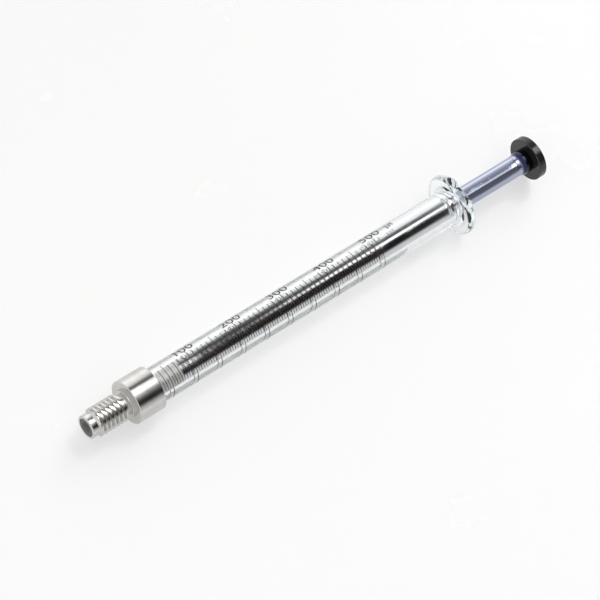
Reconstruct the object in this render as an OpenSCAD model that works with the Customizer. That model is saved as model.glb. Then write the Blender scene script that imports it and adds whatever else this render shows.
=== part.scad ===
// Threaded-hub gas-tight glass syringe, 500 microlitres, plunger fully home.
// Frame: X is the bore axis and points to the plunger button, Z is square to the
// flange flats, and the origin is on the axis at the hub's shoulder face.
// Millimetres throughout.

/* [Glass barrel] */
// Outside diameter of the glass tube
barrel_od = 5.9; // [5.5:0.05:6.0]
// Precision bore that the plunger runs in
bore_d = 3.65; // [3.64:0.01:3.75]
// Volume swept between the 0 and the full mark, microlitres
full_volume = 500; // [400:10:500]
// Glass from the full mark to the rear face of the finger flange
scale_to_flange = 17.7; // [14:0.1:20]

/* [Finger flange] */
// Diameter across the two round lobes
flange_d = 10.6; // [10:0.02:12]
// Distance across the two flats
flange_flats = 8.6; // [8.2:0.02:9.2]
// Thickness of the flange
flange_t = 1.6; // [1.4:0.1:2]
// Radius of the fire-polished rim
rim_r = 0.7; // [0.3:0.05:0.7]
// Radius of the glass that runs from the tube into the flange
root_r = 1.2; // [0.8:0.1:1.6]

/* [Threaded hub] */
// Diameter of the hub's plain body
hub_d = 7.5; // [7.2:0.1:8]
// Length of the plain body
hub_len = 5; // [5:0.1:7]
// Thread major diameter, 10-32 UNF
thread_d = 4.826; // [4.826]
// Thread pitch, 32 to the inch
pitch = 0.79375; // [0.79375]
// Number of thread crests
crests = 7; // [5:1:7]
// Distance from the shoulder to the centre of the last crest
last_crest = 1.4; // [1.2:0.05:1.45]
// Diameter of the plain nose in front of the thread
nose_d = 4; // [3.9:0.02:4.1]
// Nose face, from the shoulder
nose_len = 7.9; // [7.9:0.05:8.5]
// Diameter of the relief behind the thread
relief_d = 3.6; // [3.4:0.1:3.8]
// Diameter of the land that centres a mating part against the shoulder
land_d = 4.9; // [4.9:0.05:5.2]
// Length of that land
land_len = 0.5; // [0.3:0.05:0.5]
// Fluid passage through the hub
passage_d = 1; // [0.8:0.1:1.2]
// Edge chamfer on the metal parts
chamfer = 0.15; // [0.1:0.05:0.2]

/* [Nose insert] */
// Diameter of the polymer insert in the nose
insert_d = 3.2; // [3:0.05:3.3]
// Length of the insert
insert_len = 2; // [1.5:0.1:2.5]
// How far its face lies inside the rim
insert_recess = 0.06; // [0.04:0.01:0.1]
// Diameter of the conical seat at its mouth
seat_d = 1.9; // [1.4:0.1:2.2]
// Bore of the insert
port_d = 0.6; // [0.5:0.05:0.7]

/* [Bond and seal] */
// Radial thickness of the cured adhesive round the glass
bond_t = 0.1; // [0.06:0.01:0.15]
// Thickness of the seal disc behind the glass
seal_t = 0.5; // [0.4:0.05:0.7]
// Zero mark, which is also the front end of the glass
zero_x = 2.4; // [2.2:0.05:2.6]

/* [Plunger] */
// Diameter of the polished rod
rod_d = 3.56; // [3.5:0.01:3.6]
// Diameter of the sealing tip
tip_d = 3.63; // [3.6:0.01:3.63]
// Length of the sealing tip
tip_len = 7.4; // [6:0.05:8]
// Diameter of the stud that holds the tip
stud_d = 2; // [1.6:0.1:2.4]
// Diameter of the collar behind the button
collar_d = 4.05; // [3.8:0.05:4.4]
// Length of rod between the flange and the button with the plunger home
rod_show = 15.1; // [10:0.05:20]
// Diameter of the button
button_d = 7.4; // [7:0.05:9]
// Thickness of the button
button_t = 1.4; // [1.3:0.1:3]

/* [Hidden] */
$fn = 96;
arc_steps = 8;
barrel_r = barrel_od / 2;
bore_r = bore_d / 2;
scale_len = full_volume / (PI * pow(bore_r, 2));
flange_rear = zero_x + scale_len + scale_to_flange;
button_x = flange_rear + rod_show;
mouth = 0.2;
front_bevel = 0.2;
seat_r = barrel_r + bond_t;
seal_gap = 0.03;
bond_setback = 0.25;
thread_root_r = 1.95;
crest_flat = pitch / 8;
thread_front = last_crest + (crests - 1) * pitch + pitch / 2;
thread_back = last_crest - pitch / 2;
insert_x = -nose_len + insert_recess;
seat_depth = (seat_d - port_d) / 2;
home_gap = 0.02;
tip_x = zero_x + home_gap;
rod_x = tip_x + tip_len;
stud_len = 5;
stud_clear = 0.02;
lip_len = 1.6;
groove_len = 0.5;
groove_depth = 0.1;
barb_len = 1.2;
barb_depth = 0.18;
collar_len = 1.1;
collar_taper = 1.3;
spigot_d = 2.4;
spigot_len = 0.9;
button_chamfer = 0.12;

// Solid of revolution about X from [radius, x] points
module turned(outline) {
    rotate([0, 90, 0]) rotate_extrude() polygon(outline);
}

// Points of an arc in the [radius, x] plane
function arc(centre, r, from, to) = [
    for (i = [0 : arc_steps])
        let (a = from + (to - from) * i / arc_steps)
            [centre[0] + r * cos(a), centre[1] + r * sin(a)]
];

// One tube with its flange formed from the same glass
module glass_barrel() {
    flange_front = flange_rear - flange_t;
    lobe_r = flange_d / 2;
    color([0.85, 0.92, 0.92, 0.35])
    intersection() {
        turned(concat(
            [[bore_r, zero_x],
             [barrel_r - front_bevel, zero_x],
             [barrel_r, zero_x + front_bevel]],
            arc([barrel_r + root_r, flange_front - root_r], root_r, 180, 90),
            arc([lobe_r - rim_r, flange_front + rim_r], rim_r, -90, 0),
            arc([lobe_r - rim_r, flange_rear - rim_r], rim_r, 0, 90),
            [[bore_r + mouth, flange_rear],
             [bore_r, flange_rear - mouth]]
        ));
        translate([zero_x - 1, -flange_d, -flange_flats / 2])
            cube([flange_rear - zero_x + 2, 2 * flange_d, flange_flats]);
    }
}

// V-shaped ring crests stand for the helical thread
module threaded_hub() {
    thread_r = thread_d / 2;
    color([0.72, 0.71, 0.69])
    turned(concat(
        [[insert_d / 2, -nose_len],
         [nose_d / 2 - chamfer, -nose_len],
         [nose_d / 2, -nose_len + chamfer],
         [nose_d / 2, -thread_front - 0.05]],
        [for (i = [crests - 1 : -1 : 0], side = [-1, 1], step = [0, 1])
            let (centre = -last_crest - i * pitch,
                 at_root = side < 0 ? step == 0 : step == 1)
                at_root ? [thread_root_r, centre + side * (pitch / 2 - 0.02)]
                        : [thread_r, centre + side * crest_flat / 2]],
        [[relief_d / 2, -thread_back + 0.15],
         [relief_d / 2, -land_len - 0.1],
         [land_d / 2 - 0.1, -land_len],
         [land_d / 2, -land_len + 0.1],
         [land_d / 2, 0],
         [hub_d / 2 - chamfer, 0],
         [hub_d / 2, chamfer],
         [hub_d / 2, hub_len - chamfer],
         [hub_d / 2 - chamfer, hub_len],
         [seat_r + chamfer, hub_len],
         [seat_r, hub_len - chamfer],
         [seat_r, zero_x - seal_t],
         [passage_d / 2, zero_x - seal_t],
         [passage_d / 2, insert_x + insert_len],
         [insert_d / 2, insert_x + insert_len]]
    ));
}

// Soft insert that a needle or a fitting seals against
module nose_insert() {
    color([0.42, 0.42, 0.42])
    turned([
        [seat_d / 2, insert_x],
        [insert_d / 2, insert_x],
        [insert_d / 2, insert_x + insert_len],
        [port_d / 2, insert_x + insert_len],
        [port_d / 2, insert_x + seat_depth]
    ]);
}

// Cured bond line between the glass and the hub
module hub_adhesive() {
    color([0.80, 0.78, 0.70])
    turned([
        [barrel_r, zero_x + bond_setback],
        [seat_r, zero_x + bond_setback],
        [seat_r, hub_len - bond_setback],
        [barrel_r, hub_len - bond_setback]
    ]);
}

// Washer that seals the end of the glass and stops the plunger
module barrel_seal() {
    color([0.93, 0.93, 0.91])
    turned([
        [passage_d / 2, zero_x - seal_t],
        [seat_r - seal_gap, zero_x - seal_t],
        [seat_r - seal_gap, zero_x],
        [passage_d / 2, zero_x]
    ]);
}

// Tip with three sealing lands, pushed on the rod's stud
module plunger_tip() {
    tip_r = tip_d / 2;
    groove_r = tip_r - groove_depth;
    hole_r = stud_d / 2 + stud_clear;
    color([0.88, 0.88, 0.86])
    turned([
        [0, tip_x],
        [tip_r - chamfer, tip_x],
        [tip_r, tip_x + chamfer],
        [tip_r, tip_x + lip_len],
        [groove_r, tip_x + lip_len],
        [groove_r, tip_x + lip_len + groove_len],
        [tip_r, tip_x + lip_len + groove_len],
        [tip_r, rod_x - lip_len - groove_len],
        [groove_r, rod_x - lip_len - groove_len],
        [groove_r, rod_x - lip_len],
        [tip_r, rod_x - lip_len],
        [tip_r, rod_x - chamfer],
        [tip_r - chamfer, rod_x],
        [hole_r, rod_x],
        [hole_r, rod_x - stud_len - stud_clear],
        [0, rod_x - stud_len - stud_clear]
    ]);
}

// Polished rod: stud for the tip in front, collar and spigot for the button behind
module plunger_rod() {
    rod_r = rod_d / 2;
    stud_r = stud_d / 2;
    collar_start = button_x - collar_len;
    color([0.60, 0.62, 0.68])
    turned([
        [0, rod_x - stud_len],
        [stud_r - chamfer, rod_x - stud_len],
        [stud_r, rod_x - stud_len + chamfer],
        [stud_r, rod_x - stud_len + barb_len],
        [stud_r - barb_depth, rod_x - stud_len + barb_len],
        [stud_r - barb_depth, rod_x - barb_len],
        [stud_r, rod_x - barb_len],
        [stud_r, rod_x],
        [rod_r - 0.1, rod_x],
        [rod_r, rod_x + 0.1],
        [rod_r, collar_start - collar_taper],
        [collar_d / 2, collar_start],
        [collar_d / 2, button_x],
        [spigot_d / 2, button_x],
        [spigot_d / 2, button_x + spigot_len],
        [0, button_x + spigot_len]
    ]);
}

// Thumb button on the end of the rod
module plunger_button() {
    button_r = button_d / 2;
    hole_r = spigot_d / 2 + stud_clear;
    rear = button_x + button_t;
    color([0.06, 0.06, 0.06])
    turned([
        [hole_r, button_x],
        [button_r - button_chamfer, button_x],
        [button_r, button_x + button_chamfer],
        [button_r, rear - button_chamfer],
        [button_r - button_chamfer, rear],
        [0, rear],
        [0, button_x + spigot_len + stud_clear],
        [hole_r, button_x + spigot_len + stud_clear]
    ]);
}

glass_barrel();
threaded_hub();
nose_insert();
hub_adhesive();
barrel_seal();
plunger_tip();
plunger_rod();
plunger_button();
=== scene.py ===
import math

import bmesh
import bpy
from mathutils import Matrix, Vector


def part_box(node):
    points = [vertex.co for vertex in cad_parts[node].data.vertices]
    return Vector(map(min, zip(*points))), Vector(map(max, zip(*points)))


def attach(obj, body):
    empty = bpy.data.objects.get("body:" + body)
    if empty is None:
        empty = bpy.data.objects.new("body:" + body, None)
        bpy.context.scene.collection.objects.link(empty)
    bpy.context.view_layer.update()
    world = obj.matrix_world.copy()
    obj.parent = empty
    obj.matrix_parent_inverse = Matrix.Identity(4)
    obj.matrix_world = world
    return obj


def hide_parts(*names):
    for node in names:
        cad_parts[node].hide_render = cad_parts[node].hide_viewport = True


# A 500 microlitre gas-tight glass syringe: threaded steel hub, glass barrel with a fired scale,
# PTFE-tipped plunger. The bore axis is X, and sizes in the dictionaries are in millimetres.
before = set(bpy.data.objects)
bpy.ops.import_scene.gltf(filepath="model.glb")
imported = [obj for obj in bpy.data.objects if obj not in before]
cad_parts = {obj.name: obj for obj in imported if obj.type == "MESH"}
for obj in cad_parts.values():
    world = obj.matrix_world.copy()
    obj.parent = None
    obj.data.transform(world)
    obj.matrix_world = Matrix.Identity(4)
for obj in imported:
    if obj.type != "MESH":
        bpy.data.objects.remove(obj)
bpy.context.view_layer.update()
mm = 0.001


def reach(node):
    low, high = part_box(node)
    return low.x / mm, high.x / mm, high.y / mm  # front, rear and radius


def turned(outline, steps=128, closed=True):
    # a solid of revolution about X from (x, radius) points; an open outline ends on the axis
    bm = bmesh.new()
    points = [bm.verts.new((x * mm, 0, radius * mm)) for x, radius in outline]
    for a, b in zip(points, points[1:]):
        bm.edges.new((a, b))
    if closed:
        bm.edges.new((points[-1], points[0]))
    bmesh.ops.spin(bm, geom=bm.verts[:] + bm.edges[:], cent=(0, 0, 0), axis=(1, 0, 0), dvec=(0, 0, 0),
                   angle=2 * math.pi, steps=steps, use_merge=True, use_duplicate=False)
    bmesh.ops.remove_doubles(bm, verts=bm.verts, dist=1e-7)
    bmesh.ops.recalc_face_normals(bm, faces=bm.faces)
    return bm


def roundRings(bm, corners, width, segments=3):
    # bevels the circular edges that pass through these (x, radius) corners
    def onCorner(vert):
        radius = math.hypot(vert.co.y, vert.co.z)
        return any(abs(vert.co.x - x * mm) < 1e-6 and abs(radius - r * mm) < 1e-6 for x, r in corners)
    rings = [e for e in bm.edges if all(onCorner(v) for v in e.verts) and abs(
        e.verts[0].co.x - e.verts[1].co.x) < 1e-7]
    bmesh.ops.bevel(bm, geom=rings, offset=width * mm, offset_type="OFFSET", segments=segments,
                    profile=0.5, affect="EDGES", material=-1)


def weightNormals(mesh, sharpAngle):
    # long faces keep their own normals, and only the small rounded faces beside them bend
    facing = [face.normal.copy() for face in mesh.polygons]
    meeting = [[] for _ in mesh.vertices]
    for face in mesh.polygons:
        for vert in face.vertices:
            meeting[vert].append(face.index)
    limit = math.cos(math.radians(sharpAngle))
    normals = []
    for face in mesh.polygons:
        for vert in face.vertices:
            total = Vector()
            for other in meeting[vert]:
                if facing[face.index].dot(facing[other]) > limit:
                    total += facing[other] * mesh.polygons[other].area
            normals.append(total.normalized())
    mesh.normals_split_custom_set(normals)


def finishPiece(name, bm, material, body, replaces=(), sharpAngle=38):
    mesh = bpy.data.meshes.new(name)
    bm.to_mesh(mesh)
    bm.free()
    for face in mesh.polygons:
        face.use_smooth = True
    mesh.set_sharp_from_angle(angle=math.radians(sharpAngle))
    weightNormals(mesh, sharpAngle)
    mesh.materials.append(material)
    piece = bpy.data.objects.new(name, mesh)
    bpy.context.scene.collection.objects.link(piece)
    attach(piece, body)
    if replaces:
        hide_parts(*replaces)
    return piece


def newGroup(name, inputs, outputs):
    tree = bpy.data.node_groups.new(name, "ShaderNodeTree")
    for label, kind, value in inputs:
        socket = tree.interface.new_socket(label, in_out="INPUT", socket_type=kind)
        socket.default_value = value
    for label, kind in outputs:
        tree.interface.new_socket(label, in_out="OUTPUT", socket_type=kind)
    entry = tree.nodes.new("NodeGroupInput")
    leave = tree.nodes.new("NodeGroupOutput")
    return tree, entry.outputs, leave.inputs


def mathNode(tree, operation, first, second=None, clamp=False):
    node = tree.nodes.new("ShaderNodeMath")
    node.operation = operation
    node.use_clamp = clamp
    for socket, value in zip(node.inputs, (first, second)):
        if isinstance(value, (int, float)):
            socket.default_value = value
        elif value is not None:
            tree.links.new(value, socket)
    return node.outputs[0]


def noiseNode(tree, vector, scale, detail=2.0, roughness=0.5):
    node = tree.nodes.new("ShaderNodeTexNoise")
    node.inputs["Detail"].default_value = detail
    node.inputs["Roughness"].default_value = roughness
    tree.links.new(vector, node.inputs["Vector"])
    if isinstance(scale, (int, float)):
        node.inputs["Scale"].default_value = scale
    else:
        tree.links.new(scale, node.inputs["Scale"])
    return node.outputs["Fac"]


def rangeNode(tree, value, low, high, toLow=0.0, toHigh=1.0):
    node = tree.nodes.new("ShaderNodeMapRange")
    tree.links.new(value, node.inputs["Value"])
    for label, number in (("From Min", low), ("From Max", high), ("To Min", toLow), ("To Max", toHigh)):
        if isinstance(number, (int, float)):
            node.inputs[label].default_value = number
        else:
            tree.links.new(number, node.inputs[label])
    return node.outputs["Result"]


def mixColour(tree, factor, first, second):
    node = tree.nodes.new("ShaderNodeMix")
    node.data_type = "RGBA"
    for socket, value in ((node.inputs[0], factor), (node.inputs[6], first), (node.inputs[7], second)):
        if isinstance(value, (int, float)):
            socket.default_value = value
        elif isinstance(value, tuple):
            socket.default_value = (*value, 1)
        else:
            tree.links.new(value, socket)
    return node.outputs[2]


def turnedGrainGroup():
    # fine tool rings: they follow x on a cylinder and the radius on a face
    tree, given, made = newGroup("turnedGrain", [("Rings", "NodeSocketFloat", 20000.0)],
                                 [("Height", "NodeSocketFloat"), ("Shade", "NodeSocketFloat")])
    place = tree.nodes.new("ShaderNodeTexCoord").outputs["Object"]
    split = tree.nodes.new("ShaderNodeSeparateXYZ")
    tree.links.new(place, split.inputs[0])
    across = mathNode(tree, "SQRT", mathNode(tree, "ADD", mathNode(tree, "POWER", split.outputs[1], 2.0),
                                             mathNode(tree, "POWER", split.outputs[2], 2.0)))
    joined = tree.nodes.new("ShaderNodeCombineXYZ")
    tree.links.new(split.outputs[0], joined.inputs[0])
    tree.links.new(across, joined.inputs[1])
    fine = noiseNode(tree, joined.outputs[0], given["Rings"], 3.0, 0.6)
    broad = noiseNode(tree, place, 420.0, 3.0, 0.6)
    tree.links.new(fine, made["Height"])
    blend = mathNode(tree, "ADD", mathNode(tree, "MULTIPLY", fine, 0.65),
                     mathNode(tree, "MULTIPLY", broad, 0.35))
    tree.links.new(rangeNode(tree, blend, 0.3, 0.7), made["Shade"])
    return tree


def handlingGroup():
    # smudges left by handling
    tree, given, made = newGroup("handlingMarks", [("Scale", "NodeSocketFloat", 300.0)],
                                 [("Smudge", "NodeSocketFloat")])
    place = tree.nodes.new("ShaderNodeTexCoord").outputs["Object"]
    smudge = noiseNode(tree, place, given["Scale"], 4.0, 0.6)
    tree.links.new(rangeNode(tree, smudge, 0.45, 0.75), made["Smudge"])
    return tree


turnedGrain = turnedGrainGroup()
handlingMarks = handlingGroup()


def startMaterial(name):
    material = bpy.data.materials.new(name)
    material.use_nodes = True
    tree = material.node_tree
    return material, tree, tree.nodes["Principled BSDF"], tree.nodes["Material Output"]


def placeGroup(tree, group, **values):
    node = tree.nodes.new("ShaderNodeGroup")
    node.node_tree = group
    for label, value in values.items():
        node.inputs[label].default_value = value
    return node.outputs


def bumpNode(tree, height, distance):
    node = tree.nodes.new("ShaderNodeBump")
    node.inputs["Strength"].default_value = 1.0
    node.inputs["Distance"].default_value = distance
    tree.links.new(height, node.inputs["Height"])
    return node.outputs["Normal"]


def steelMaterial():
    look = {"dark": (0.50, 0.49, 0.47), "light": (0.66, 0.65, 0.63), "smooth": 0.10, "rough": 0.18,
            "rings": 26000.0, "ringDepth": 2.2e-6, "smudgeScale": 380.0}
    material, tree, shader, _ = startMaterial("turnedSteel")
    grain = placeGroup(tree, turnedGrain, Rings=look["rings"])
    marks = placeGroup(tree, handlingMarks, Scale=look["smudgeScale"])
    tree.links.new(mixColour(tree, grain["Shade"], look["dark"], look["light"]), shader.inputs["Base Color"])
    shader.inputs["Metallic"].default_value = 1.0
    uneven = mathNode(tree, "ADD", mathNode(tree, "MULTIPLY", grain["Shade"], 0.6),
                      mathNode(tree, "MULTIPLY", marks["Smudge"], 0.4), clamp=True)
    gloss = rangeNode(tree, uneven, 0.0, 1.0, look["smooth"], look["rough"])
    tree.links.new(gloss, shader.inputs["Roughness"])
    tree.links.new(bumpNode(tree, grain["Height"], look["ringDepth"]), shader.inputs["Normal"])
    return material


def rodMaterial():
    # bare steel inside the glass, a blue tint where it stands out of it, a painted dark reflection on the
    # collar, and painted shade on the collar's end against the button
    # the collar colour is a painted dark reflection, and the neck colour is painted shade where the rod
    # enters the button
    look = {"bright": (0.60, 0.60, 0.61), "tinted": (0.39, 0.42, 0.54), "collar": (0.030, 0.033, 0.075),
            "neck": (0.012, 0.012, 0.014), "tintStart": barrelRear - 1.2, "tintFade": 1.5,
            "collarStart": 80.7, "collarFade": 0.4, "neckStart": 81.95, "neckFade": 0.1,
            "smooth": 0.05, "rough": 0.11, "rearRough": -0.035, "rearMetal": 0.90,
            "rings": 9000.0, "ringDepth": 1.5e-7, "smudgeScale": 260.0}
    material, tree, shader, _ = startMaterial("polishedRod")
    marks = placeGroup(tree, handlingMarks, Scale=look["smudgeScale"])
    grain = placeGroup(tree, turnedGrain, Rings=look["rings"])
    place = tree.nodes.new("ShaderNodeTexCoord").outputs["Object"]
    split = tree.nodes.new("ShaderNodeSeparateXYZ")
    tree.links.new(place, split.inputs[0])

    def past(name):
        start, fade = look[name + "Start"], look[name + "Fade"]
        return rangeNode(tree, split.outputs[0], start * mm, (start + fade) * mm)

    rear = past("tint")
    # past the collar start the tint gives way to the painted dark reflection, then to the painted shade at
    # the button
    tintAndPaintedShade = mixColour(tree, past("collar"), look["tinted"], look["collar"])
    tintAndPaintedShade = mixColour(tree, past("neck"), tintAndPaintedShade, look["neck"])
    tree.links.new(mixColour(tree, rear, look["bright"], tintAndPaintedShade), shader.inputs["Base Color"])
    tree.links.new(rangeNode(tree, rear, 0.0, 1.0, 1.0, look["rearMetal"]), shader.inputs["Metallic"])
    wear = rangeNode(tree, marks["Smudge"], 0.0, 1.0, look["smooth"], look["rough"])
    tree.links.new(mathNode(tree, "ADD", wear, mathNode(tree, "MULTIPLY", rear, look["rearRough"])),
                   shader.inputs["Roughness"])
    tree.links.new(bumpNode(tree, grain["Height"], look["ringDepth"]), shader.inputs["Normal"])
    return material


def glassMaterial():
    look = {"ior": 1.474, "waviness": 4.0e-6, "waveScale": 330.0, "smudge": 0.035, "smudgeScale": 240.0,
            "tint": (0.80, 0.93, 0.96), "tintPerMetre": 60.0, "shadow": (0.93, 0.95, 0.95, 1)}
    material, tree, shader, output = startMaterial("boroGlass")
    shader.inputs["Base Color"].default_value = (1, 1, 1, 1)
    shader.inputs["Transmission Weight"].default_value = 1.0
    shader.inputs["IOR"].default_value = look["ior"]
    marks = placeGroup(tree, handlingMarks, Scale=look["smudgeScale"])
    gloss = rangeNode(tree, marks["Smudge"], 0.0, 1.0, 0.0, look["smudge"])
    tree.links.new(gloss, shader.inputs["Roughness"])
    place = tree.nodes.new("ShaderNodeTexCoord").outputs["Object"]
    wave = noiseNode(tree, place, look["waveScale"], 1.0, 0.4)
    tree.links.new(bumpNode(tree, wave, look["waviness"]), shader.inputs["Normal"])
    clear = tree.nodes.new("ShaderNodeBsdfTransparent")
    clear.inputs["Color"].default_value = look["shadow"]
    rays = tree.nodes.new("ShaderNodeLightPath")
    mix = tree.nodes.new("ShaderNodeMixShader")
    tree.links.new(rays.outputs["Is Shadow Ray"], mix.inputs["Fac"])
    tree.links.new(shader.outputs[0], mix.inputs[1])
    tree.links.new(clear.outputs[0], mix.inputs[2])
    tree.links.new(mix.outputs[0], output.inputs["Surface"])
    depth = tree.nodes.new("ShaderNodeVolumeAbsorption")
    depth.inputs["Color"].default_value = (*look["tint"], 1)
    depth.inputs["Density"].default_value = look["tintPerMetre"]
    tree.links.new(depth.outputs[0], output.inputs["Volume"])
    return material


def plainMaterial(name, look):
    # solids with a mottled colour, uneven gloss and a fine surface, either turned or grainy
    material, tree, shader, _ = startMaterial(name)
    marks = placeGroup(tree, handlingMarks, Scale=look["smudgeScale"])
    tree.links.new(mixColour(tree, marks["Smudge"], look["dark"], look["light"]), shader.inputs["Base Color"])
    gloss = rangeNode(tree, marks["Smudge"], 0.0, 1.0, look["smooth"], look["rough"])
    tree.links.new(gloss, shader.inputs["Roughness"])
    if "rings" in look:
        height = placeGroup(tree, turnedGrain, Rings=look["rings"])["Height"]
    else:
        place = tree.nodes.new("ShaderNodeTexCoord").outputs["Object"]
        height = noiseNode(tree, place, look["smudgeScale"] * 30, 2.0, 0.5)
    tree.links.new(bumpNode(tree, height, look["depth"]), shader.inputs["Normal"])
    return material


def enamelMaterial():
    look = {"dark": (0.90, 0.90, 0.90), "light": (0.94, 0.94, 0.94), "smooth": 0.30, "rough": 0.45,
            "smudgeScale": 400.0, "depth": 1.0e-6, "soak": 0.0001}
    material = plainMaterial("whiteEnamel", look)
    shader = material.node_tree.nodes["Principled BSDF"]
    shader.inputs["Subsurface Weight"].default_value = 1.0
    shader.inputs["Subsurface Radius"].default_value = (1.0, 1.0, 1.0)
    shader.inputs["Subsurface Scale"].default_value = look["soak"]
    return material


def inkMaterial(name, ghost=1.0):
    look = {"dark": (0.020, 0.009, 0.004), "light": (0.034, 0.016, 0.007), "smooth": 0.35, "rough": 0.55,
            "smudgeScale": 900.0, "depth": 1.0e-6}
    material = plainMaterial(name, look)
    if ghost < 1:  # weaker where it is only met by light inside the glass
        tree = material.node_tree
        rays = tree.nodes.new("ShaderNodeLightPath")
        clear = tree.nodes.new("ShaderNodeBsdfTransparent")
        mix = tree.nodes.new("ShaderNodeMixShader")
        share = rangeNode(tree, rays.outputs["Is Camera Ray"], 0.0, 1.0, ghost, 1.0)
        tree.links.new(share, mix.inputs["Fac"])
        tree.links.new(clear.outputs[0], mix.inputs[1])
        tree.links.new(tree.nodes["Principled BSDF"].outputs[0], mix.inputs[2])
        tree.links.new(mix.outputs[0], tree.nodes["Material Output"].inputs["Surface"])
    return material


bond, play = 0.1, 0.01  # thickness of the adhesive round the glass, and room round the tip in the bore
barrelFront, barrelRear, lobeRadius = reach("glass_barrel")
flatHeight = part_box("glass_barrel")[1].z / mm
tubeRadius = reach("hub_adhesive")[2] - bond
boreRadius = reach("plunger_tip")[2] + play


def buildBarrel(material):
    size = {"disc": 1.6, "root": 1.2, "rim": 0.7, "mouth": 0.2, "frontEdge": 0.2, "flatEdge": 0.2}
    discFront = barrelRear - size["disc"]
    bm = turned([(barrelFront, boreRadius), (barrelFront, tubeRadius), (discFront, tubeRadius),
                 (discFront, lobeRadius), (barrelRear, lobeRadius), (barrelRear, boreRadius)], steps=192)
    roundRings(bm, [(discFront, tubeRadius)], size["root"], 8)
    roundRings(bm, [(discFront, lobeRadius), (barrelRear, lobeRadius)], size["rim"], 6)
    roundRings(bm, [(barrelRear, boreRadius)], size["mouth"], 3)
    roundRings(bm, [(barrelFront, tubeRadius)], size["frontEdge"], 3)
    for side in (1, -1):
        cut = bmesh.ops.bisect_plane(bm, geom=bm.verts[:] + bm.edges[:] + bm.faces[:], dist=1e-7,
                                     plane_co=(0, 0, side * flatHeight * mm), plane_no=(0, 0, side),
                                     clear_outer=True)
        rim = [e for e in cut["geom_cut"] if isinstance(e, bmesh.types.BMEdge)]
        bmesh.ops.edgeloop_fill(bm, edges=rim)
        bmesh.ops.bevel(bm, geom=rim, offset=size["flatEdge"] * mm, offset_type="OFFSET", segments=3,
                        profile=0.5, affect="EDGES", material=-1)
    bmesh.ops.recalc_face_normals(bm, faces=bm.faces)
    return finishPiece("barrelGlass", bm, material, "barrel", ["glass_barrel"])


scale = {
    "full": 500, "step": 5, "numberStep": 100, "inkDepth": 0.012, "sunk": 0.01,
    "minorWidth": 0.09, "minorStart": 16,
    "tickWidth": 0.12, "tickStart": -24, "tickEnd": 48,
    "longWidth": 0.12, "longStart": -33, "longEnd": 262,
    "numberAngle": -45.5, "numberSize": 2.7, "numberHeight": 0.85, "unitSize": 2.16, "unitX": 54.3,
    "backingStart": 106, "backingEnd": 266, "backingFront": 4.8, "backingRear": 55.9,
    "backingSunk": 0.005, "backingDepth": 0.022,
}
mmPerUnit = 1 / (math.pi * boreRadius ** 2)


def inkArc(bm, x, width, start, end, inner=tubeRadius - scale["sunk"], outer=tubeRadius + scale["inkDepth"]):
    # a strip of ink round the glass, from one angle to another, measured from +Z towards -Y
    corners = [(-0.5, inner), (0.5, inner), (0.5, outer), (-0.5, outer)]
    verts = [bm.verts.new(((x + side * width) * mm, 0, radius * mm)) for side, radius in corners]
    face = bm.faces.new(verts)
    bmesh.ops.rotate(bm, verts=verts, cent=(0, 0, 0), matrix=Matrix.Rotation(math.radians(start), 3, "X"))
    bmesh.ops.spin(bm, geom=verts + face.edges[:] + [face], cent=(0, 0, 0), axis=(1, 0, 0), dvec=(0, 0, 0),
                   angle=math.radians(end - start), steps=max(6, round((end - start) / 5)),
                   use_merge=False, use_duplicate=False)


def buildTicks(material):
    short, long = bmesh.new(), bmesh.new()
    for value in range(0, scale["full"] + 1, scale["step"]):
        x = barrelFront + value * mmPerUnit
        if value % 10:
            inkArc(short, x, scale["minorWidth"], scale["minorStart"], scale["tickEnd"])
        elif value % 50:
            inkArc(short, x, scale["tickWidth"], scale["tickStart"], scale["tickEnd"])
        elif value:
            inkArc(long, x, scale["longWidth"], scale["longStart"], scale["longEnd"])
    for name, bm in (("scaleTicks", short), ("scaleRings", long)):
        bmesh.ops.recalc_face_normals(bm, faces=bm.faces)
        finishPiece(name, bm, material, "barrel")


def buildBacking(material):
    # the white enamel strip fired on the back of the glass, over the long marks
    bm = bmesh.new()
    front, rear = scale["backingFront"], scale["backingRear"]
    inkArc(bm, (front + rear) / 2, rear - front, scale["backingStart"], scale["backingEnd"],
           inner=tubeRadius - scale["backingSunk"], outer=tubeRadius + scale["backingDepth"])
    bmesh.ops.recalc_face_normals(bm, faces=bm.faces)
    return finishPiece("backingStripe", bm, material, "barrel")


def wrappedText(name, words, size, material):
    # each (text, x, angle) is set in type, cut into narrow strips and wrapped round the glass
    bm = bmesh.new()
    for text, x, angle in words:
        curve = bpy.data.curves.new(name, "FONT")
        curve.body = text
        curve.size = size * mm
        curve.align_x = "CENTER"
        curve.align_y = "CENTER"
        curve.resolution_u = 5
        curve.extrude = (scale["inkDepth"] + scale["sunk"]) / 2 * mm
        word = bpy.data.objects.new(name, curve)
        bpy.context.scene.collection.objects.link(word)
        flat = bpy.data.meshes.new_from_object(word.evaluated_get(bpy.context.evaluated_depsgraph_get()))
        piece = bmesh.new()
        piece.from_mesh(flat)
        bmesh.ops.remove_doubles(piece, verts=piece.verts, dist=1e-8)
        for step in range(-10, 11):
            bmesh.ops.bisect_plane(piece, geom=piece.verts[:] + piece.edges[:] + piece.faces[:], dist=1e-8,
                                   plane_co=(0, step * size / 20 * mm, 0), plane_no=(0, 1, 0))
        middle = tubeRadius + (scale["inkDepth"] - scale["sunk"]) / 2
        for vert in piece.verts:
            turn = math.radians(angle) - vert.co.y * scale["numberHeight"] / (tubeRadius * mm)
            radius = middle * mm + vert.co.z
            vert.co = Vector((x * mm + vert.co.x, -math.sin(turn) * radius, math.cos(turn) * radius))
        wrapped = bpy.data.meshes.new(name)
        piece.to_mesh(wrapped)
        piece.free()
        bm.from_mesh(wrapped)
        bpy.data.objects.remove(word)
        for leftover in (flat, wrapped):
            bpy.data.meshes.remove(leftover)
    bmesh.ops.recalc_face_normals(bm, faces=bm.faces)
    return finishPiece(name, bm, material, "barrel")


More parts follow.
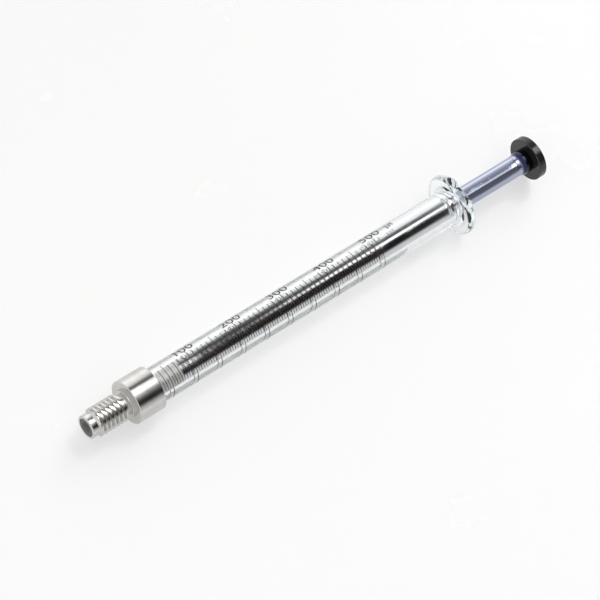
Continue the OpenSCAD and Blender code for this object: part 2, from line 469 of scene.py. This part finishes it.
def buildNumbers(material):
    numbers = [(str(value), barrelFront + value * mmPerUnit, scale["numberAngle"])
               for value in range(scale["numberStep"], scale["full"] + 1, scale["numberStep"])]
    wrappedText("scaleNumbers", numbers, scale["numberSize"], material)
    wrappedText("unitMark", [("µl", scale["unitX"], scale["numberAngle"])], scale["unitSize"], material)


hubFace, hubRear, hubRadius = reach("threaded_hub")


def buildHub(material):
    size = {"edge": 0.15, "nose": 2.0, "noseRear": -6.55, "root": 1.95, "rootRear": -1.1, "relief": 1.8,
            "land": 2.45, "landLength": 0.5, "landEdge": 0.08, "passage": 0.5, "mouthEdge": 0.05}
    insertRear, insertRadius = reach("nose_insert")[1:]
    seatRadius, seatFloor = reach("hub_adhesive")[2], reach("barrel_seal")[0]
    outline = [(hubFace, insertRadius), (hubFace, size["nose"]), (size["noseRear"], size["nose"]),
               (size["noseRear"] + 0.1, size["root"]), (size["rootRear"], size["root"]),
               (size["rootRear"] + 0.15, size["relief"]), (-size["landLength"] - 0.05, size["relief"]),
               (-size["landLength"], size["land"]), (0, size["land"]), (0, hubRadius), (hubRear, hubRadius),
               (hubRear, seatRadius), (seatFloor, seatRadius), (seatFloor, size["passage"]),
               (insertRear, size["passage"]), (insertRear, insertRadius)]
    bm = turned(outline, steps=160)
    roundRings(bm, [(0, hubRadius), (hubRear, hubRadius), (hubRear, seatRadius)], size["edge"], 3)
    roundRings(bm, [(hubFace, size["nose"])], size["edge"], 3)
    roundRings(bm, [(hubFace, insertRadius)], size["mouthEdge"], 2)
    roundRings(bm, [(-size["landLength"], size["land"])], size["landEdge"], 2)
    return finishPiece("hubBody", bm, material, "barrel", ["threaded_hub"])


def buildThread(material):
    size = {"pitch": 0.79375, "crest": 2.413, "root": 1.95, "crestFlat": 0.22, "rootFlat": 0.12, "sunk": 0.12,
            "start": -6.65, "turns": 6.68, "startAngle": -70, "stepsPerTurn": 64, "runOut": 0.22}
    foot, top = (size["pitch"] - size["rootFlat"]) / 2, size["crestFlat"] / 2
    base, low = size["root"] - size["sunk"], size["root"] - 0.01
    outline = [(-foot, base), (-foot, low), (-top, size["crest"]), (top, size["crest"]), (foot, low),
               (foot, base)]
    bm = bmesh.new()
    verts = [bm.verts.new(((size["start"] + x) * mm, 0, r * mm)) for x, r in outline]
    face = bm.faces.new(verts)
    bmesh.ops.rotate(bm, verts=verts, cent=(0, 0, 0),
                     matrix=Matrix.Rotation(math.radians(size["startAngle"]), 3, "X"))
    steps = round(size["turns"] * size["stepsPerTurn"])
    bmesh.ops.spin(bm, geom=verts + face.edges[:] + [face], cent=(0, 0, 0), axis=(1, 0, 0),
                   dvec=(size["pitch"] / size["stepsPerTurn"] * mm, 0, 0), angle=2 * math.pi * size["turns"],
                   steps=steps, use_merge=False, use_duplicate=False)
    start, end = size["start"] * mm, (size["start"] + size["turns"] * size["pitch"]) * mm
    fade, core = size["runOut"] * size["pitch"] * mm, size["root"] * mm * 0.99
    for vert in bm.verts:  # the crest rises out of the core at both ends
        radius = math.hypot(vert.co.y, vert.co.z)
        if radius > size["root"] * mm:
            near = min(vert.co.x - start, end - vert.co.x) + fade * 0.3
            share = min(1.0, max(0.0, near / fade))
            wanted = core + (radius - core) * share
            vert.co.y *= wanted / radius
            vert.co.z *= wanted / radius
    bmesh.ops.recalc_face_normals(bm, faces=bm.faces)
    return finishPiece("hubThread", bm, material, "barrel", sharpAngle=25)


def buildInsert(material):
    front, rear, radius = reach("nose_insert")
    size = {"seat": 0.95, "port": 0.3, "edge": 0.05}
    bm = turned([(front, size["seat"]), (front, radius), (rear, radius), (rear, size["port"]),
                 (front + size["seat"] - size["port"], size["port"])], steps=96)
    roundRings(bm, [(front, size["seat"])], size["edge"], 2)
    return finishPiece("noseInsert", bm, material, "barrel", ["nose_insert"])


def buildAdhesive(material):
    front, rear, radius = reach("hub_adhesive")
    size = {"bead": 0.1, "fillet": 0.12}
    bm = turned([(front, radius - bond), (front, radius), (rear + size["bead"], radius),
                 (rear + size["bead"] + size["fillet"], radius - bond)])
    return finishPiece("hubAdhesive", bm, material, "barrel", ["hub_adhesive"])


def buildSeal(material):
    front, rear, radius = reach("barrel_seal")
    size = {"hole": 0.5, "edge": 0.08}
    bm = turned([(front, size["hole"]), (front, radius), (rear, radius), (rear, size["hole"])])
    roundRings(bm, [(rear, size["hole"])], size["edge"], 2)
    return finishPiece("barrelSeal", bm, material, "barrel", ["barrel_seal"])


def buildTip(material):
    front, rear, radius = reach("plunger_tip")
    size = {"lip": 1.6, "groove": 0.5, "depth": 0.1, "grooveEdge": 0.05, "edge": 0.12, "hole": 1.02,
            "holeDepth": 5.02}
    groove = radius - size["depth"]
    firstGroove, lastGroove = front + size["lip"], rear - size["lip"] - size["groove"]
    outline = [(front, 0), (front, radius)]
    for x in (firstGroove, lastGroove):
        outline += [(x, radius), (x, groove), (x + size["groove"], groove), (x + size["groove"], radius)]
    outline += [(rear, radius), (rear, size["hole"]), (rear - size["holeDepth"], size["hole"]),
                (rear - size["holeDepth"], 0)]
    bm = turned(outline, closed=False)
    roundRings(bm, [(front, radius), (rear, radius)], size["edge"], 3)
    for x in (firstGroove, lastGroove):
        roundRings(bm, [(x, radius), (x + size["groove"], radius)], size["grooveEdge"], 2)
    return finishPiece("plungerTip", bm, material, "plunger", ["plunger_tip"])


def buildRod(material):
    front, rear, _ = reach("plunger_rod")
    tipRear, buttonFront = reach("plunger_tip")[1], reach("plunger_button")[0]
    size = {"stud": 1.0, "barb": 0.18, "barbLength": 1.2, "rod": 1.78, "collar": 2.025, "collarLength": 1.1,
            "taper": 1.3, "spigot": 1.2, "edge": 0.1, "taperRound": 0.5, "collarRound": 0.3}
    collarStart = buttonFront - size["collarLength"]
    neck = size["stud"] - size["barb"]
    outline = [(front, 0), (front, size["stud"]), (front + size["barbLength"], size["stud"]),
               (front + size["barbLength"], neck), (tipRear - size["barbLength"], neck),
               (tipRear - size["barbLength"], size["stud"]), (tipRear, size["stud"]), (tipRear, size["rod"]),
               (collarStart - size["taper"], size["rod"]), (collarStart, size["collar"]),
               (buttonFront, size["collar"]), (buttonFront, size["spigot"]), (rear, size["spigot"]),
               (rear, 0)]
    bm = turned(outline, steps=160, closed=False)
    roundRings(bm, [(tipRear, size["rod"])], size["edge"], 3)
    roundRings(bm, [(collarStart - size["taper"], size["rod"])], size["taperRound"], 6)
    roundRings(bm, [(collarStart, size["collar"])], size["collarRound"], 4)
    roundRings(bm, [(front, size["stud"])], size["edge"], 2)
    return finishPiece("plungerRod", bm, material, "plunger", ["plunger_rod"],
                       sharpAngle=40)


def buildButton(material):
    front, rear, radius = reach("plunger_button")
    size = {"hole": 1.22, "holeDepth": 0.92, "edge": 0.14}
    floor = front + size["holeDepth"]
    bm = turned([(front, size["hole"]), (front, radius), (rear, radius), (rear, 0), (floor, 0),
                 (floor, size["hole"])], steps=160)
    roundRings(bm, [(front, radius), (rear, radius)], size["edge"], 4)
    return finishPiece("thumbButton", bm, material, "plunger", ["plunger_button"])


finishes = {
    "greyPolymer": {"dark": (0.06, 0.06, 0.06), "light": (0.10, 0.10, 0.10),
                    "smooth": 0.40, "rough": 0.55, "smudgeScale": 500.0, "depth": 1.5e-6, "rings": 12000.0},
    "curedAdhesive": {"dark": (0.70, 0.68, 0.60), "light": (0.80, 0.78, 0.70),
                      "smooth": 0.25, "rough": 0.45, "smudgeScale": 500.0, "depth": 3.0e-6},
    "whitePtfe": {"dark": (0.50, 0.48, 0.46), "light": (0.58, 0.56, 0.54),
                  "smooth": 0.35, "rough": 0.55, "smudgeScale": 420.0, "depth": 1.5e-6, "rings": 9000.0},
    "blackAnodised": {"dark": (0.010, 0.010, 0.011), "light": (0.016, 0.016, 0.017),
                      "smooth": 0.10, "rough": 0.20, "smudgeScale": 350.0, "depth": 1.0e-6, "rings": 14000.0},
}
plain = {name: plainMaterial(name, look) for name, look in finishes.items()}
steel = steelMaterial()
print("materials done")
buildBarrel(glassMaterial())
buildTicks(inkMaterial("firedInk"))
buildNumbers(inkMaterial("numberInk", ghost=0.25))
buildBacking(enamelMaterial())
print("barrel and scale done")
buildHub(steel)
buildThread(steel)
buildInsert(plain["greyPolymer"])
buildAdhesive(plain["curedAdhesive"])
buildSeal(plain["whitePtfe"])
print("hub done")
buildTip(plain["whitePtfe"])
buildRod(rodMaterial())
buildButton(plain["blackAnodised"])
print("plunger done")


def buildFloor():
    look = {"dark": (0.335, 0.33, 0.32), "light": (0.35, 0.345, 0.335), "glow": (0.98, 0.985, 1.0, 1),
            "glowStrength": 0.525, "smooth": 0.22, "rough": 0.30}
    mesh = bpy.data.meshes.new("tableTop")
    bm = bmesh.new()
    bmesh.ops.create_grid(bm, x_segments=1, y_segments=1, size=4.0,
                          matrix=Matrix.Translation((0.04, 0, -flatHeight * mm)))
    bm.to_mesh(mesh)
    bm.free()
    material, tree, shader, _ = startMaterial("paleTable")
    place = tree.nodes.new("ShaderNodeTexCoord").outputs["Object"]
    cloud = noiseNode(tree, place, 9.0, 2.0, 0.5)
    tree.links.new(mixColour(tree, cloud, look["dark"], look["light"]), shader.inputs["Base Color"])
    # a translucent table lit from underneath keeps the shadows pale
    shader.inputs["Emission Color"].default_value = look["glow"]
    shader.inputs["Emission Strength"].default_value = look["glowStrength"]
    gloss = rangeNode(tree, noiseNode(tree, place, 60.0, 3.0, 0.5), 0.0, 1.0, look["smooth"], look["rough"])
    tree.links.new(gloss, shader.inputs["Roughness"])
    mesh.materials.append(material)
    floor = bpy.data.objects.new("tableTop", mesh)
    bpy.context.scene.collection.objects.link(floor)


def buildKeyLight():
    look = {"place": (0.92, 0.47, 0.67), "target": (0.04, 0.0, 0.0), "side": 0.5, "radiance": 5.0}
    lamp = bpy.data.lights.new("keyLight", "AREA")
    lamp.shape = "SQUARE"
    lamp.size = look["side"]
    lamp.energy = look["radiance"] * math.pi * look["side"] ** 2  # an area light's watts for this radiance
    holder = bpy.data.objects.new("keyLight", lamp)
    back = (Vector(look["place"]) - Vector(look["target"])).normalized()
    up = back.cross(Vector((1, 0, 0))).normalized()
    turn = Matrix((up.cross(back), up, back)).transposed().to_4x4()
    holder.matrix_world = Matrix.Translation(look["place"]) @ turn
    bpy.context.scene.collection.objects.link(holder)


def buildWorld():
    # a plain pale room; above and beside the object, on the +X side, hang strips of light and dark.
    # a strip is (degrees round X from +Z towards -Y, level), and each list is what one stretch mirrors
    hub = [(-180, 0.90), (-128, 0.80), (-115, 1.30), (-97, 1.60), (-68, 1.75), (-60, 1.75), (-54, 1.50),
           (-48, 1.05), (-42, 0.48), (-36, 0.14), (-31, 0.26), (-26, 1.20), (-20, 3.00), (0, 3.20),
           (5, 2.50), (9, 1.80), (14, 1.20), (19, 0.85), (28, 0.40), (36, 0.16), (43, 0.04), (52, 0.03),
           (58, 0.08), (64, 0.36), (72, 0.60), (82, 0.72), (100, 0.85), (180, 0.90)]
    below = [(56, 0.015), (64, 0.08), (72, 0.40), (80, 0.80), (100, 0.95), (180, 0.90)]
    barrelStart = [(-180, 0.90), (-108, 1.20), (-100, 1.45), (-82, 1.40), (-74, 1.10), (-66, 0.65),
                   (-57, 0.28), (-46, 0.11), (-35, 0.08), (-24, 0.09), (-14, 0.12), (4, 0.10), (14, 0.05),
                   (23, 0.03), (35, 0.015)] + below
    barrelEnd = [(-180, 0.90), (-108, 1.20), (-100, 1.45), (-70, 1.45), (-62, 1.30), (-54, 0.75),
                 (-45, 0.32), (-35, 0.12), (-22, 0.08), (-18, 0.50), (-15, 2.20), (-1, 2.20), (5, 0.90),
                 (9, 0.12), (14, 0.04), (22, 0.015)] + below
    rod = [(-180, 0.90), (-108, 1.20), (-100, 2.00), (-82, 2.10), (-62, 1.15), (-50, 0.78), (-35, 0.52),
           (-20, 0.42), (-2, 0.40), (5, 1.40), (15, 1.40), (22, 0.14), (36, 0.12), (60, 0.13), (75, 0.20),
           (86, 0.50), (92, 1.00), (100, 1.15), (180, 0.90)]
    button = [(-180, 0.90), (-60, 0.90), (-40, 0.10), (-20, 0.20), (-15, 13.00), (14, 13.00), (20, 0.50),
              (26, 0.05), (60, 0.05), (80, 0.80), (180, 0.90)]
    plainEnd = [(-180, 1.00), (180, 1.00)]
    # each list takes over from the one before between two values of the direction's x
    layers = [(hub, 0.20, 0.30), (barrelStart, 0.403, 0.411), (barrelEnd, 0.428, 0.452), (rod, 0.474, 0.480),
              (button, 0.4945, 0.496), (barrelEnd, 0.510, 0.520), (plainEnd, 0.78, 0.92)]
    room, most = 1.0, 13.0
    world = bpy.data.worlds.new("studio")
    world.use_nodes = True
    tree = world.node_tree
    background = tree.nodes["Background"]
    direction = tree.nodes.new("ShaderNodeTexCoord").outputs["Generated"]
    split = tree.nodes.new("ShaderNodeSeparateXYZ")
    tree.links.new(direction, split.inputs[0])
    angle = mathNode(tree, "ARCTAN2", mathNode(tree, "MULTIPLY", split.outputs[1], -1.0), split.outputs[2])
    around = rangeNode(tree, angle, -math.pi, math.pi)
    colour = (room / most, room / most, room / most)
    for strips, low, high in layers:
        ramp = tree.nodes.new("ShaderNodeValToRGB")
        elements = ramp.color_ramp.elements
        while len(elements) < len(strips):
            elements.new(0.5)
        for element, (degrees, level) in zip(elements, strips):
            element.position = (degrees + 180) / 360
            element.color = (level / most, level / most, level / most, 1)
        tree.links.new(around, ramp.inputs[0])
        colour = mixColour(tree, rangeNode(tree, split.outputs[0], low, high), colour, ramp.outputs[0])
    tree.links.new(colour, background.inputs["Color"])
    background.inputs["Strength"].default_value = most
    bpy.context.scene.world = world


def buildCamera():
    view = {"target": (41, 0, 0), "along": -0.4473, "tilt": 13.93, "roll": 31.37, "distance": 645.3,
            "lens": 243.6, "aimRight": -0.00715, "aimUp": -0.00503}
    across = math.sqrt(1 - view["along"] ** 2)
    tilt, roll = math.radians(view["tilt"]), math.radians(view["roll"])
    toCamera = Vector((view["along"], -across * math.sin(tilt), across * math.cos(tilt)))
    plainRight = (Vector((1, 0, 0)) - toCamera * toCamera.x).normalized()
    plainUp = toCamera.cross(plainRight)
    right = math.cos(roll) * plainRight - math.sin(roll) * plainUp
    up = math.sin(roll) * plainRight + math.cos(roll) * plainUp
    place = (Vector(view["target"]) + toCamera * view["distance"]) * mm
    # a small turn about the same place sets where the object stands in the frame
    back = (toCamera - right * view["aimRight"] - up * view["aimUp"]).normalized()
    right = (right - back * right.dot(back)).normalized()
    up = back.cross(right)
    camera = bpy.data.cameras.new("camera")
    camera.lens = view["lens"]
    camera.clip_start = 0.01
    holder = bpy.data.objects.new("camera", camera)
    holder.matrix_world = Matrix.Translation(place) @ Matrix((right, up, back)).transposed().to_4x4()
    bpy.context.scene.collection.objects.link(holder)
    bpy.context.scene.camera = holder


buildFloor()
buildWorld()
buildKeyLight()
buildCamera()
scene = bpy.context.scene
scene.view_settings.view_transform = "Standard"
scene.cycles.use_denoising = True
scene.cycles.transmission_bounces = 24
scene.cycles.max_bounces = 24
scene.cycles.transparent_max_bounces = 24
print("stage done")
